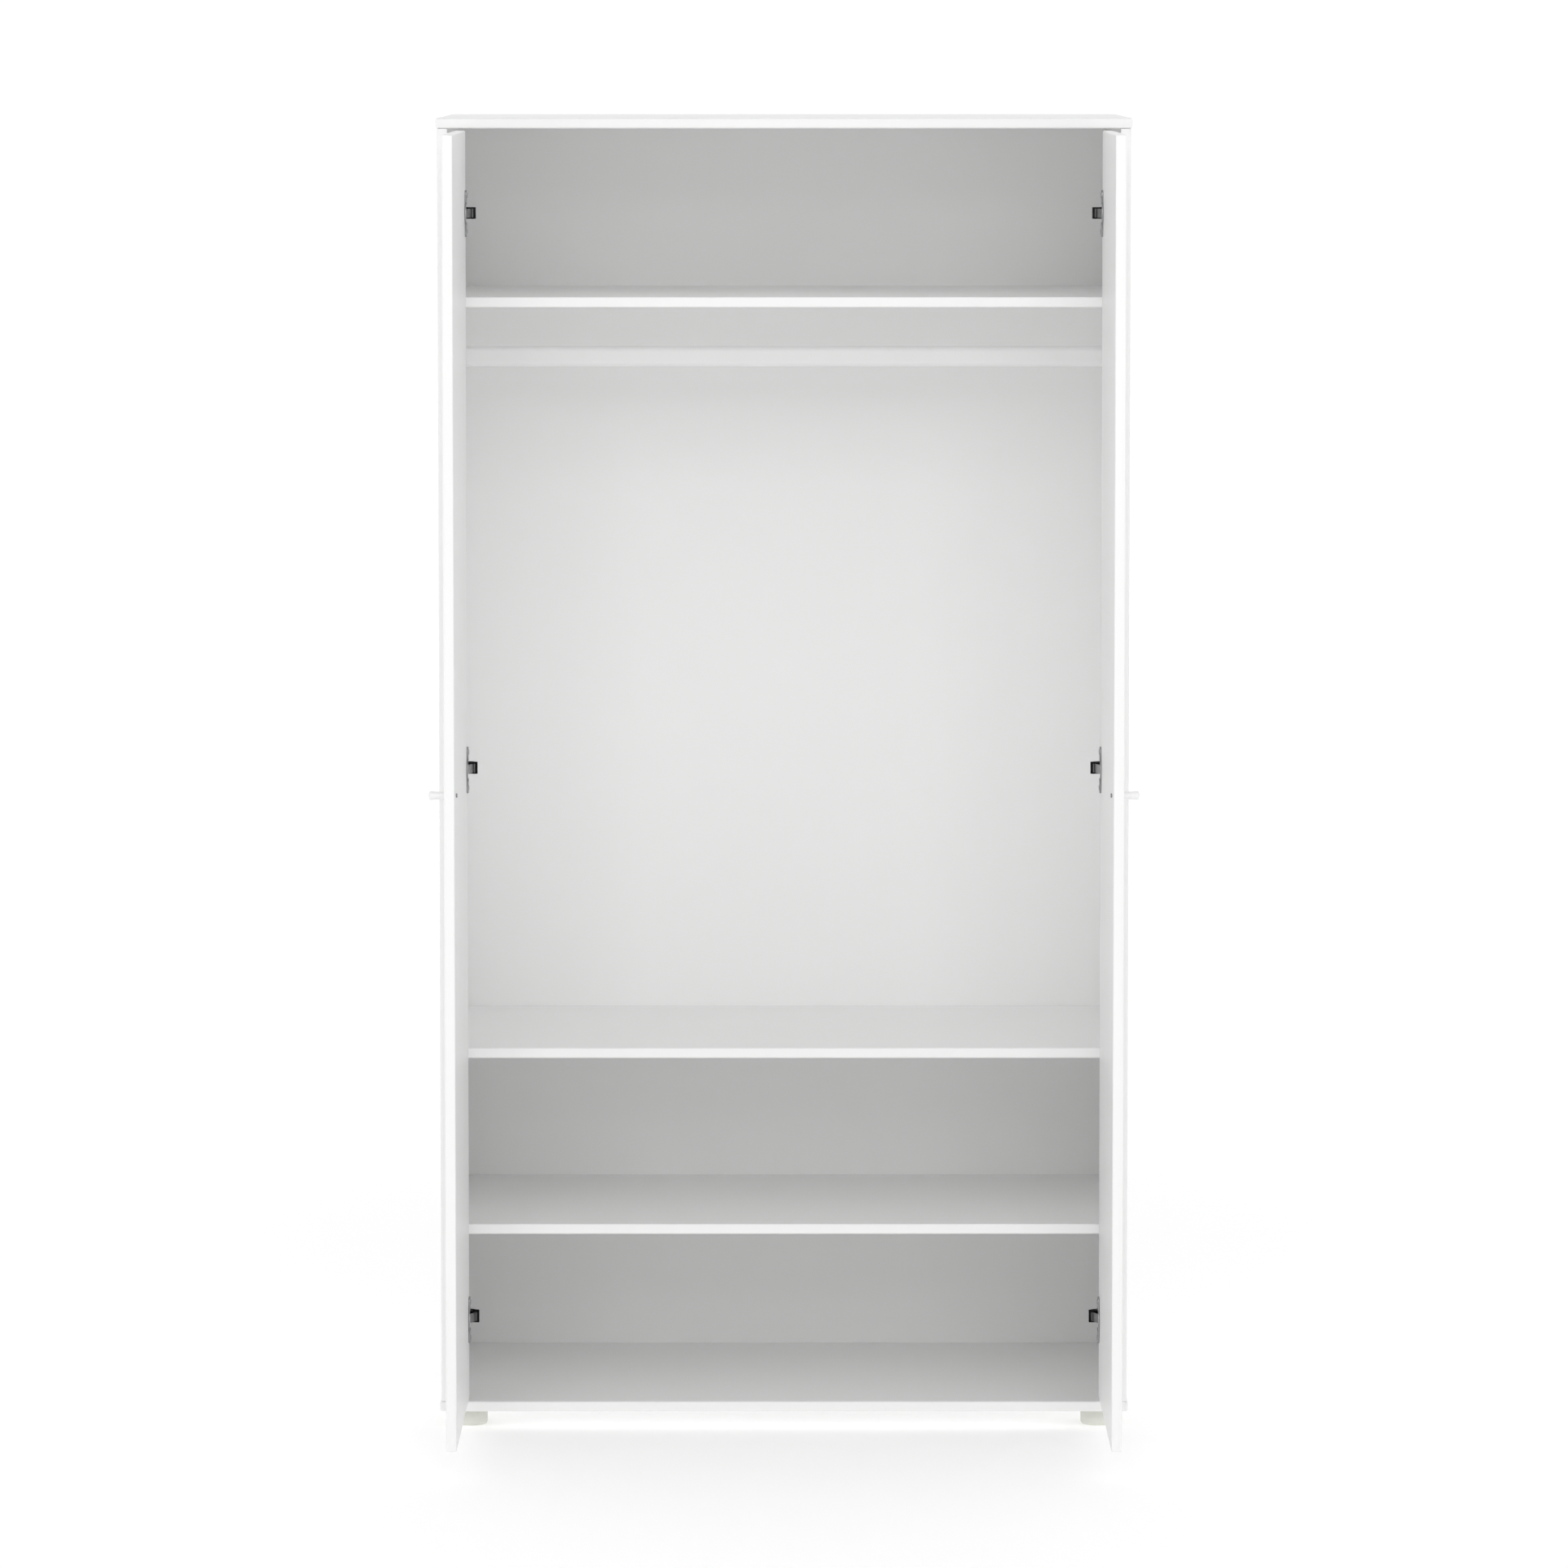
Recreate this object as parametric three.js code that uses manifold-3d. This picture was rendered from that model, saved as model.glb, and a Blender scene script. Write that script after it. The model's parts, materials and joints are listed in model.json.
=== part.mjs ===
// A two-door wardrobe of white board on round feet, with its doors standing open at a right angle.
// Millimetres, +Z up. The front faces -Y, and the origin is on the floor under the middle of the whole.
import * as THREE from "three";
import { RoundedBoxGeometry } from "three/addons/geometries/RoundedBoxGeometry.js";
import { mergeVertices } from "three/addons/utils/BufferGeometryUtils.js";
import Module from "manifold-3d";

const wasm = await Module();
wasm.setup();

// Driving dimensions. Depths are counted back from the front edge of the case, heights from the floor.
const CASE_WIDTH = 1000;
const CASE_DEPTH = 560;
const CASE_HEIGHT = 1875;
const FOOT_HEIGHT = 25;
const BOARD = 15;
const OVERHANG = 2; // top and bottom panels stand this far past the sides
const TOUCH = 0.3; // gap left between two pieces that touch
const SHELF_UNDERSIDES = { lower: 282.5, middle: 540, upper: 1628 };
const SHELF_SETBACK = 20;
const BACK_FACE = 550;
const BACK_THICKNESS = 3;
const GROOVE_DEPTH = 6;
const RAIL = { width: 15, height: 30, wall: 1.2 }; // an oval tube
const RAIL_HEIGHT = 1547.5;
const RAIL_SETBACK = 280;
const DOOR_SIDE_GAP = 1.5;
const DOOR_TOP_GAP = 3;
const DOOR_BOTTOM_GAP = 5;
const HINGE_SPACING = 801;
const HINGE_AXIS = { x: 471, y: 1.5 }; // the line that a concealed hinge turns its door about
const KNOB_FROM_EDGE = 50;
const FOOT_RADIUS = 25;
const FOOT_PLACE = { x: 457.5, inset: 50 };

// Worked out from them
const SIDE_OUTER = CASE_WIDTH / 2 - OVERHANG;
const SIDE_INNER = SIDE_OUTER - BOARD;
const FLOOR_TOP = FOOT_HEIGHT + BOARD;
const ROOF_UNDERSIDE = FOOT_HEIGHT + CASE_HEIGHT - BOARD;
const MID_HEIGHT = (FLOOR_TOP + ROOF_UNDERSIDE) / 2;
const DOOR_WIDTH = SIDE_INNER - 2 * DOOR_SIDE_GAP;
const DOOR_OUTER = HINGE_AXIS.x + HINGE_AXIS.y;
const DOOR_INNER = DOOR_OUTER - BOARD;
const DOOR_REAR = HINGE_AXIS.y + SIDE_INNER - DOOR_SIDE_GAP - HINGE_AXIS.x;
const DOOR_FRONT = DOOR_REAR - DOOR_WIDTH;
const HINGE_HEIGHTS = { lower: -1, middle: 0, upper: 1 };
const SIDES = { seen: 24, cup: 20, cam: 16, hidden: 10 }; // facets round a turned surface
const CUP = { depth: 11.5, radius: 17.2, wall: 0.8, fromEdge: 22.5 };
const CUP_Y = DOOR_REAR - CUP.fromEdge;

const lacquer = new THREE.MeshStandardMaterial({ color: 0xf4f4f2, roughness: 0.42, metalness: 0 });
const steel = new THREE.MeshStandardMaterial({ color: 0x9a9c9e, roughness: 0.35, metalness: 0.9 });
const zinc = new THREE.MeshStandardMaterial({ color: 0xb4b2ac, roughness: 0.5, metalness: 0.8 });
const plastic = new THREE.MeshStandardMaterial({ color: 0xd6d7cf, roughness: 0.6, metalness: 0 });
const enamel = new THREE.MeshStandardMaterial({ color: 0xf2f2f0, roughness: 0.3, metalness: 0 });

// A closed three.js geometry as a solid that can be joined and cut.
function solid(geometry) {
  const bare = new THREE.BufferGeometry();
  bare.setAttribute("position", geometry.getAttribute("position"));
  bare.setIndex(geometry.index);
  const merged = mergeVertices(bare, 1e-3);
  const mesh = new wasm.Mesh({
    numProp: 3,
    vertProperties: new Float32Array(merged.attributes.position.array),
    triVerts: new Uint32Array(merged.index.array),
  });
  return new wasm.Manifold(mesh);
}

// A solid as a named three.js mesh with flat faces.
function piece(name, body, material) {
  const { numProp, vertProperties, triVerts } = body.getMesh();
  const positions = [];
  for (const vertex of triVerts) {
    const start = vertex * numProp;
    positions.push(...vertProperties.subarray(start, start + 3));
  }
  const geometry = new THREE.BufferGeometry();
  geometry.setAttribute("position", new THREE.Float32BufferAttribute(positions, 3));
  geometry.computeVertexNormals();
  const mesh = new THREE.Mesh(geometry, material);
  mesh.name = name;
  return mesh;
}

// A block between two corners, sharp, or with its edges rounded in steps.
function block(low, high, rounding = 0, steps = 1) {
  const size = high.map((value, axis) => value - low[axis]);
  const middle = high.map((value, axis) => (value + low[axis]) / 2);
  const geometry = rounding
    ? new RoundedBoxGeometry(...size, steps, rounding)
    : new THREE.BoxGeometry(...size);
  return solid(geometry.translate(...middle));
}

// A board with softened edges, but for its square ends along the given axis.
function board(low, high, axis) {
  const rounding = 2;
  const longer = (corner, growth) =>
    corner.map((value, index) => value + (index === axis ? growth : 0));
  const wider = (corner, growth) =>
    corner.map((value, index) => value + (index === axis ? 0 : growth));
  const long = block(longer(low, -2 * rounding), longer(high, 2 * rounding), rounding);
  return long.intersect(block(wider(low, -1), wider(high, 1)));
}

// A profile of [radius, distance] points turned about an axis that starts at a point.
function turned(profile, start, axis, sides = SIDES.seen) {
  const points = profile.map(([radius, distance]) => new THREE.Vector2(radius, distance));
  const direction = new THREE.Vector3(...axis);
  const turn = new THREE.Quaternion().setFromUnitVectors(new THREE.Vector3(0, 1, 0), direction);
  const geometry = new THREE.LatheGeometry(points, sides);
  return solid(geometry.applyQuaternion(turn).translate(...start));
}

// A plain rod or a round hole's cutter.
function rod(radius, length, start, axis, sides = SIDES.hidden) {
  return turned([[0, 0], [radius, 0], [radius, length], [0, length]], start, axis, sides);
}

// A closed outline in X and Y, upright about the height z.
function upright(outline, z, height) {
  const shape = new THREE.Shape(outline.map(([x, y]) => new THREE.Vector2(x, y)));
  const geometry = new THREE.ExtrudeGeometry(shape, { depth: height, bevelEnabled: false });
  return solid(geometry.translate(0, 0, z - height / 2));
}

// A plate with round ends in Y and Z, lying from x to x + thickness.
function roundedPlate(x, thickness, y, z, width, height, corner) {
  const shape = new THREE.Shape();
  const halfWidth = width / 2;
  const halfHeight = height / 2;
  const quarter = Math.PI / 2;
  shape.absarc(halfWidth - corner, halfHeight - corner, corner, 0, quarter);
  shape.absarc(corner - halfWidth, halfHeight - corner, corner, quarter, 2 * quarter);
  shape.absarc(corner - halfWidth, corner - halfHeight, corner, 2 * quarter, 3 * quarter);
  shape.absarc(halfWidth - corner, corner - halfHeight, corner, 3 * quarter, 4 * quarter);
  const flat = { depth: thickness, bevelEnabled: false, curveSegments: 2 };
  const geometry = new THREE.ExtrudeGeometry(shape, flat);
  const along = new THREE.Matrix4().makeBasis(
    new THREE.Vector3(0, 1, 0),
    new THREE.Vector3(0, 0, 1),
    new THREE.Vector3(1, 0, 0),
  );
  return solid(geometry.applyMatrix4(along).translate(x, y, z));
}

const cut = (body, cutters) => cutters.reduce((left, cutter) => left.subtract(cutter), body);
const join = (bodies) => bodies.reduce((whole, body) => whole.add(body));

const CORNERS = [
  { name: "upper_front", end: 1, y: 60 },
  { name: "upper_rear", end: 1, y: 500 },
  { name: "lower_front", end: -1, y: 60 },
  { name: "lower_rear", end: -1, y: 500 },
];
const CAM = {
  radius: 7.5,
  depth: 12.2,
  fromEnd: 34,
  boltRadius: 3.2,
  boltReach: 11,
  slotWidth: 1.6,
  slotLength: 10,
  slotDepth: 2,
};
const DOWEL = { radius: 4, reach: 9, places: [80, 480] };
const FOOT_SCREW = { shank: 2, head: 5, tip: 36, seat: 17 };
const BRIDGE = 13.2; // width of the raised part of a mounting plate, inside the arm
const PLATE_SCREW = { shank: 2, reach: 12, y: 37, spacing: 32 };
const CUP_SCREW = { shank: 1.7, reach: 10, spacing: 52 };
const KNOB_SCREW = { shank: 2, head: 3, reach: 9 };
const SOCKET = { base: 3, reach: 14, margin: 7, wall: 2.4 };
const SOCKET_SCREW = { shank: 2, head: 5, reach: 12 };
const SHELF_END = SIDE_INNER - TOUCH;
const SHELF_REAR = BACK_FACE - TOUCH;
const hingeHeight = (level) => MID_HEIGHT + HINGE_HEIGHTS[level] * HINGE_SPACING;
const camHeight = (end) => (end > 0 ? ROOF_UNDERSIDE - CAM.fromEnd : FLOOR_TOP + CAM.fromEnd);

// The groove that the back panel sits in, as a cutter that runs right round the case.
function backGroove() {
  const reach = SIDE_INNER + GROOVE_DEPTH;
  const low = [-reach, BACK_FACE - TOUCH, FLOOR_TOP - GROOVE_DEPTH];
  const high = [reach, BACK_FACE + BACK_THICKNESS + TOUCH, ROOF_UNDERSIDE + GROOVE_DEPTH];
  return block(low, high);
}

// The roof or the floor of the case, drilled for the cam bolts and, below, for the foot screws.
function endPanel(end) {
  const low = end > 0 ? ROOF_UNDERSIDE : FOOT_HEIGHT;
  const halfWidth = CASE_WIDTH / 2;
  const face = end > 0 ? ROOF_UNDERSIDE : FLOOR_TOP;
  const panel = block([-halfWidth, 0, low], [halfWidth, CASE_DEPTH, low + BOARD], 3, 2);
  const cutters = [backGroove()];
  for (const sign of [-1, 1]) {
    for (const corner of CORNERS.filter((place) => place.end === end)) {
      const start = [sign * (SIDE_INNER + BOARD / 2), corner.y, face - end];
      cutters.push(rod(CAM.boltRadius + TOUCH, CAM.boltReach + 1.5, start, [0, 0, end]));
    }
  }
  if (end < 0) {
    for (const [x, y] of footPlaces()) {
      const depth = FOOT_SCREW.tip - FOOT_HEIGHT + 1.5;
      cutters.push(rod(FOOT_SCREW.shank + TOUCH, depth, [x, y, FOOT_HEIGHT - 1], [0, 0, 1]));
    }
  }
  return cut(panel, cutters);
}

// A side of the case, on the right: grooved for the back and drilled for every fitting on it.
function sidePanel() {
  const low = [SIDE_INNER, 0, FLOOR_TOP + TOUCH];
  const high = [SIDE_OUTER, CASE_DEPTH, ROOF_UNDERSIDE - TOUCH];
  const drilled = (radius, depth, y, z, sides) =>
    rod(radius + TOUCH, depth + 1, [SIDE_INNER - 1, y, z], [1, 0, 0], sides);
  const cutters = [backGroove()];
  for (const { end, y } of CORNERS) {
    const z = camHeight(end);
    cutters.push(drilled(CAM.radius, CAM.depth + TOUCH, y, z, SIDES.cam));
    const bore = [SIDE_INNER + BOARD / 2, y, z];
    cutters.push(rod(CAM.boltRadius + TOUCH, CAM.fromEnd + 1, bore, [0, 0, end]));
  }
  for (const underside of Object.values(SHELF_UNDERSIDES)) {
    for (const y of DOWEL.places) {
      cutters.push(drilled(DOWEL.radius, DOWEL.reach + 1, y, underside + BOARD / 2));
    }
  }
  for (const level of Object.keys(HINGE_HEIGHTS)) {
    for (const sign of [-1, 1]) {
      const z = hingeHeight(level) + (sign * PLATE_SCREW.spacing) / 2;
      cutters.push(drilled(PLATE_SCREW.shank, PLATE_SCREW.reach + 0.8, PLATE_SCREW.y, z));
    }
  }
  cutters.push(drilled(SOCKET_SCREW.shank, SOCKET_SCREW.reach + 1, RAIL_SETBACK, RAIL_HEIGHT));
  return cut(board(low, high, 2), cutters);
}

// The thin back, held in the grooves all round.
function backPanel() {
  const slack = 0.5;
  const reach = SIDE_INNER + GROOVE_DEPTH - slack;
  const low = [-reach, BACK_FACE, FLOOR_TOP - GROOVE_DEPTH + slack];
  const high = [reach, BACK_FACE + BACK_THICKNESS, ROOF_UNDERSIDE + GROOVE_DEPTH - slack];
  return block(low, high);
}

// A shelf with the dowels glued into its ends.
function shelf(underside) {
  const low = [-SHELF_END, SHELF_SETBACK, underside];
  const bodies = [board(low, [SHELF_END, SHELF_REAR, underside + BOARD], 0)];
  for (const y of DOWEL.places) {
    const start = [-SHELF_END - DOWEL.reach, y, underside + BOARD / 2];
    bodies.push(rod(DOWEL.radius, 2 * (SHELF_END + DOWEL.reach), start, [1, 0, 0]));
  }
  return join(bodies);
}

// A cam in the side, on the right, with its bolt into the panel above or below it.
function camFitting({ end, y }) {
  const z = camHeight(end);
  const cam = rod(CAM.radius, CAM.depth, [SIDE_INNER, y, z], [1, 0, 0], SIDES.cam);
  const { slotWidth, slotLength, slotDepth } = CAM;
  const slot = block(
    [SIDE_INNER - 1, y - slotWidth / 2, z - slotLength / 2],
    [SIDE_INNER + slotDepth, y + slotWidth / 2, z + slotLength / 2],
  );
  const length = CAM.fromEnd + CAM.boltReach;
  const bolt = rod(CAM.boltRadius, length, [SIDE_INNER + BOARD / 2, y, z], [0, 0, end]);
  return join([cut(cam, [slot]), bolt]);
}

// An oval plate round the axis of the rail, standing out from the rail's own outline by a margin.
function railOval(x, thickness, margin) {
  const width = RAIL.width + 2 * margin;
  const height = RAIL.height + 2 * margin;
  return roundedPlate(x, thickness, RAIL_SETBACK, RAIL_HEIGHT, width, height, width / 2);
}

function rail() {
  const half = SIDE_INNER - SOCKET.base - 3 * TOUCH;
  const hollow = railOval(-half - 1, 2 * half + 2, -RAIL.wall);
  return cut(railOval(-half, 2 * half, 0), [hollow]);
}

// The rail's socket on the right: an oval collar on an oval base, with a countersunk hole.
function railSocket() {
  const face = SIDE_INNER - TOUCH;
  const inner = face - SOCKET.base;
  const body = join([
    railOval(inner, SOCKET.base, SOCKET.margin),
    railOval(face - SOCKET.reach, SOCKET.reach, SOCKET.wall + TOUCH),
  ]);
  const mouth = railOval(inner - SOCKET.reach, SOCKET.reach, TOUCH);
  const bore = SOCKET_SCREW.shank + TOUCH;
  const sink = SOCKET_SCREW.head + 0.5;
  const hole = [[0, -1], [bore, -1], [bore, 0.4], [sink, SOCKET.base], [0, SOCKET.base + 1]];
  const start = [face, RAIL_SETBACK, RAIL_HEIGHT];
  return cut(body, [mouth, turned(hole, start, [-1, 0, 0], SIDES.hidden)]);
}

function railSocketScrew() {
  const head = 2.4;
  const length = SOCKET_SCREW.reach + head;
  const profile = [
    [0, 0],
    [SOCKET_SCREW.head, 0],
    [SOCKET_SCREW.shank, head],
    [SOCKET_SCREW.shank, length],
    [0, length + 1],
  ];
  const start = [SIDE_INNER - TOUCH - SOCKET.base + 0.2, RAIL_SETBACK, RAIL_HEIGHT];
  return turned(profile, start, [1, 0, 0], SIDES.hidden);
}

function footPlaces() {
  const { x, inset } = FOOT_PLACE;
  return [
    [x, inset],
    [-x, inset],
    [x, CASE_DEPTH - inset],
    [-x, CASE_DEPTH - inset],
  ];
}

// A round foot with a softened lower edge and a recess for its screw.
function foot(x, y) {
  const softness = 4.5;
  const top = FOOT_HEIGHT - TOUCH;
  const recess = FOOT_SCREW.head + 1;
  const edge = [];
  for (let step = 0; step <= 3; step += 1) {
    const angle = (step / 3) * (Math.PI / 2);
    const radius = FOOT_RADIUS - softness + softness * Math.sin(angle);
    edge.push([radius, softness * (1 - Math.cos(angle))]);
  }
  const bore = FOOT_SCREW.shank + TOUCH;
  const profile = [[recess, 0], ...edge, [FOOT_RADIUS, top], [bore, top]];
  profile.push([bore, FOOT_SCREW.seat], [recess, FOOT_SCREW.seat], [recess, 0]);
  return turned(profile, [x, y, 0], [0, 0, 1]);
}

function footScrew(x, y) {
  const seat = FOOT_SCREW.seat - TOUCH;
  const profile = [
    [0, seat - 3.2],
    [FOOT_SCREW.head - 1.5, seat - 3.2],
    [FOOT_SCREW.head, seat - 1.2],
    [FOOT_SCREW.head, seat],
    [FOOT_SCREW.shank, seat],
    [FOOT_SCREW.shank, FOOT_SCREW.tip - 1],
    [0, FOOT_SCREW.tip],
  ];
  return turned(profile, [x, y, 0], [0, 0, 1], SIDES.hidden);
}

// The door on the right, open at a right angle, bored for its hinge cups and its knob.
function door() {
  const low = [DOOR_INNER, DOOR_FRONT, FLOOR_TOP + DOOR_BOTTOM_GAP];
  const high = [DOOR_OUTER, DOOR_REAR, ROOF_UNDERSIDE - DOOR_TOP_GAP];
  const across = [1, 0, 0];
  const cutters = [];
  for (const level of Object.keys(HINGE_HEIGHTS)) {
    const z = hingeHeight(level);
    const depth = CUP.depth + TOUCH + 1;
    cutters.push(rod(CUP.radius + TOUCH, depth, [DOOR_INNER - 1, CUP_Y, z], across, SIDES.cup));
    for (const sign of [-1, 1]) {
      const start = [DOOR_INNER - 1, CUP_Y, z + (sign * CUP_SCREW.spacing) / 2];
      cutters.push(rod(CUP_SCREW.shank + TOUCH, CUP_SCREW.reach + 2, start, across));
    }
  }
  const knobHole = [DOOR_INNER - 1, DOOR_FRONT + KNOB_FROM_EDGE, MID_HEIGHT];
  cutters.push(rod(KNOB_SCREW.shank + TOUCH, BOARD + 2, knobHole, across));
  return cut(block(low, high, 2), cutters);
}

// A slightly waisted round knob on the outer face of the door, tapped for its screw.
function knob() {
  const stalk = [
    [5.9, 0],
    [5.7, 2],
    [5.5, 5.5],
    [5.5, 8.5],
    [5.6, 12],
    [5.8, 15],
    [6.1, 18.4],
    [6.2, 20.2],
    [5.9, 21.2],
    [3, 22.6],
    [0, 23.1],
  ];
  const bore = KNOB_SCREW.shank + TOUCH;
  const depth = KNOB_SCREW.reach + 1;
  const profile = [[0, depth], [bore, depth], [bore, 0], ...stalk];
  const start = [DOOR_OUTER + TOUCH, DOOR_FRONT + KNOB_FROM_EDGE, MID_HEIGHT];
  return turned(profile, start, [1, 0, 0]);
}

function knobScrew() {
  const head = 2;
  const length = head + TOUCH + BOARD + KNOB_SCREW.reach;
  const profile = [
    [0, 0],
    [KNOB_SCREW.head - 0.9, 0.2],
    [KNOB_SCREW.head, 1],
    [KNOB_SCREW.head, head],
    [KNOB_SCREW.shank, head],
    [KNOB_SCREW.shank, length],
    [0, length],
  ];
  const start = [DOOR_INNER - TOUCH - head, DOOR_FRONT + KNOB_FROM_EDGE, MID_HEIGHT];
  return turned(profile, start, [1, 0, 0], SIDES.hidden);
}

// A hinge's cup and its two screws, let into the door. Its flange is thinner where the link passes.
function hingeCup(z) {
  const flange = 2.1;
  const face = DOOR_INNER - TOUCH;
  const hollow = CUP.radius - CUP.wall;
  const floor = CUP.depth + TOUCH;
  const rim = CUP.radius + 1.3;
  const bowl = [
    [0, floor],
    [0, floor - CUP.wall],
    [hollow, floor - CUP.wall],
    [hollow, -0.6],
    [rim, -0.6],
    [rim, 0],
    [CUP.radius, 0],
    [CUP.radius, floor],
    [0, floor],
  ];
  const along = [1, 0, 0];
  const ears = roundedPlate(face - flange, flange, CUP_Y, z, 22, 66.6, 8);
  const ring = rod(rim, flange, [face - flange, CUP_Y, z], along, SIDES.cup);
  const linkSide = block([face - 2 * flange, CUP_Y, z - rim], [face, CUP_Y + rim + 1, z + rim]);
  const opening = rod(hollow, flange + 4, [face - flange - 2, CUP_Y, z], along, SIDES.cup);
  const collar = cut(join([ears, cut(ring, [linkSide])]), [opening]);
  const bodies = [collar, turned(bowl, [face, CUP_Y, z], along, SIDES.cup)];
  for (const sign of [-1, 1]) {
    const start = [face - flange - 0.9, CUP_Y, z + (sign * CUP_SCREW.spacing) / 2];
    const reach = flange + 0.9 + CUP_SCREW.reach;
    const profile = [
      [0, 0],
      [2.4, 0.1],
      [4, 0.9],
      [4, 1.4],
      [CUP_SCREW.shank, 1.5],
      [CUP_SCREW.shank, reach],
      [0, reach],
    ];
    bodies.push(turned(profile, start, along, SIDES.hidden));
  }
  return join(bodies);
}

// The hinge's mounting plate with its two screws, on the inner face of the side.
function hingePlate(z) {
  const face = SIDE_INNER - TOUCH;
  const wing = 2.5;
  const bodies = [
    roundedPlate(face - wing, wing, PLATE_SCREW.y + 1, z, 16, 50, 6),
    block([SEAT.inner + 2.4, 40, z - BRIDGE / 2], [face, 74, z + BRIDGE / 2]),
  ];
  for (const sign of [-1, 1]) {
    const start = [face - wing - 1, PLATE_SCREW.y, z + (sign * PLATE_SCREW.spacing) / 2];
    const reach = wing + 1 + PLATE_SCREW.reach;
    const profile = [
      [0, 0],
      [2.6, 0.1],
      [4, 1],
      [4, 1.4],
      [PLATE_SCREW.shank, 1.5],
      [PLATE_SCREW.shank, reach],
      [0, reach],
    ];
    bodies.push(turned(profile, start, [1, 0, 0], SIDES.hidden));
  }
  return join(bodies);
}

// The link turns on a pin in the nose of the arm and reaches round the door's edge into the cup.
const LINK = { pin: [448, 22], elbow: [457, -0.8], tip: [462, 1.1], thickness: 2.2, width: 12.6 };
const ARM = { width: 16.4, sheet: 1.2, pinRadius: 1.2, screwRadius: 3.6, screwY: 66 };
const NOSE = { inner: 443.5, outer: 457, front: 18.7, back: 33 }; // the end of the arm by the door
const SEAT = { inner: 462, outer: 476, front: 47, back: 95 }; // the end of the arm over its plate

// The hinge's cranked arm, a channel of sheet steel, with the link's pin across its nose.
function hingeArm(z) {
  const cornerCut = 3;
  const outline = [
    [NOSE.inner, NOSE.front],
    [NOSE.outer, NOSE.front],
    [NOSE.outer, NOSE.front + 8],
    [SEAT.outer, NOSE.back + 5],
    [SEAT.outer, SEAT.back - cornerCut],
    [SEAT.outer - cornerCut, SEAT.back],
    [SEAT.inner, SEAT.back],
    [SEAT.inner, SEAT.front],
    [NOSE.inner, NOSE.back],
  ];
  const open = 20;
  const slantedSheet = ARM.sheet / 2;
  const hollow = [
    [NOSE.inner + ARM.sheet, NOSE.front - open],
    [SEAT.outer + open, NOSE.front - open],
    [SEAT.outer + open, SEAT.back - ARM.sheet],
    [SEAT.inner + ARM.sheet, SEAT.back - ARM.sheet],
    [SEAT.inner + ARM.sheet, SEAT.front - slantedSheet],
    [NOSE.inner + ARM.sheet, NOSE.back - slantedSheet],
  ];
  const inside = ARM.width - 2 * ARM.sheet;
  const channel = cut(upright(outline, z, ARM.width), [upright(hollow, z, inside)]);
  const pinEnd = ARM.width / 2 - 0.2;
  const pin = rod(ARM.pinRadius, 2 * pinEnd, [...LINK.pin, z - pinEnd], [0, 0, 1]);
  const screwTop = [SEAT.inner - 1.2, ARM.screwY, z];
  return join([channel, pin, rod(ARM.screwRadius, 1.5, screwTop, [1, 0, 0])]);
}

// A strip of the given thickness from one point to another, with round ends.
function strip([fromX, fromY], [toX, toY], z) {
  const half = LINK.thickness / 2;
  const angle = Math.atan2(toY - fromY, toX - fromX);
  const length = Math.hypot(toX - fromX, toY - fromY);
  const outline = new THREE.Shape();
  outline.absarc(0, 0, half, Math.PI / 2, (3 * Math.PI) / 2);
  outline.absarc(length, 0, half, -Math.PI / 2, Math.PI / 2);
  const options = { depth: LINK.width, bevelEnabled: false, curveSegments: 2 };
  const geometry = new THREE.ExtrudeGeometry(outline, options);
  return solid(geometry.rotateZ(angle).translate(fromX, fromY, z - LINK.width / 2));
}

function hingeLink(z) {
  const bottom = z - LINK.width / 2;
  const eye = rod(2.5, LINK.width, [...LINK.pin, bottom], [0, 0, 1], SIDES.cam);
  const bore = rod(ARM.pinRadius + TOUCH, LINK.width + 2, [...LINK.pin, bottom - 1], [0, 0, 1]);
  const body = join([strip(LINK.pin, LINK.elbow, z), strip(LINK.elbow, LINK.tip, z), eye]);
  return cut(body, [bore]);
}

const wardrobe = new THREE.Group();
wardrobe.position.y = -(CASE_DEPTH + DOOR_FRONT) / 2;
wardrobe.add(
  piece("top_panel", endPanel(1), lacquer),
  piece("bottom_panel", endPanel(-1), lacquer),
  piece("back_panel", backPanel(), lacquer),
  piece("clothes_rail", rail(), enamel),
);
for (const [place, underside] of Object.entries(SHELF_UNDERSIDES)) {
  wardrobe.add(piece(`${place}_shelf`, shelf(underside), lacquer));
}
footPlaces().forEach(([x, y], index) => {
  const place = ["right_front", "left_front", "right_rear", "left_rear"][index];
  wardrobe.add(piece(`${place}_foot`, foot(x, y), plastic));
  wardrobe.add(piece(`${place}_foot_screw`, footScrew(x, y), steel));
});

// What both halves have is made on the right, and its mirror image is the left.
for (const side of ["right", "left"]) {
  const half = new THREE.Group();
  half.scale.x = side === "right" ? 1 : -1;
  half.add(
    piece(`${side}_side_panel`, sidePanel(), lacquer),
    piece(`${side}_rail_socket`, railSocket(), enamel),
    piece(`${side}_rail_socket_screw`, railSocketScrew(), steel),
    piece(`${side}_door`, door(), lacquer),
    piece(`${side}_knob`, knob(), enamel),
    piece(`${side}_knob_screw`, knobScrew(), steel),
  );
  for (const corner of CORNERS) {
    half.add(piece(`${side}_${corner.name}_cam_fitting`, camFitting(corner), zinc));
  }
  for (const level of Object.keys(HINGE_HEIGHTS)) {
    const z = hingeHeight(level);
    half.add(
      piece(`${side}_${level}_hinge_cup`, hingeCup(z), steel),
      piece(`${side}_${level}_hinge_plate`, hingePlate(z), steel),
      piece(`${side}_${level}_hinge_arm`, hingeArm(z), steel),
      piece(`${side}_${level}_hinge_link`, hingeLink(z), steel),
    );
  }
  wardrobe.add(half);
}

export default wardrobe;
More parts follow.
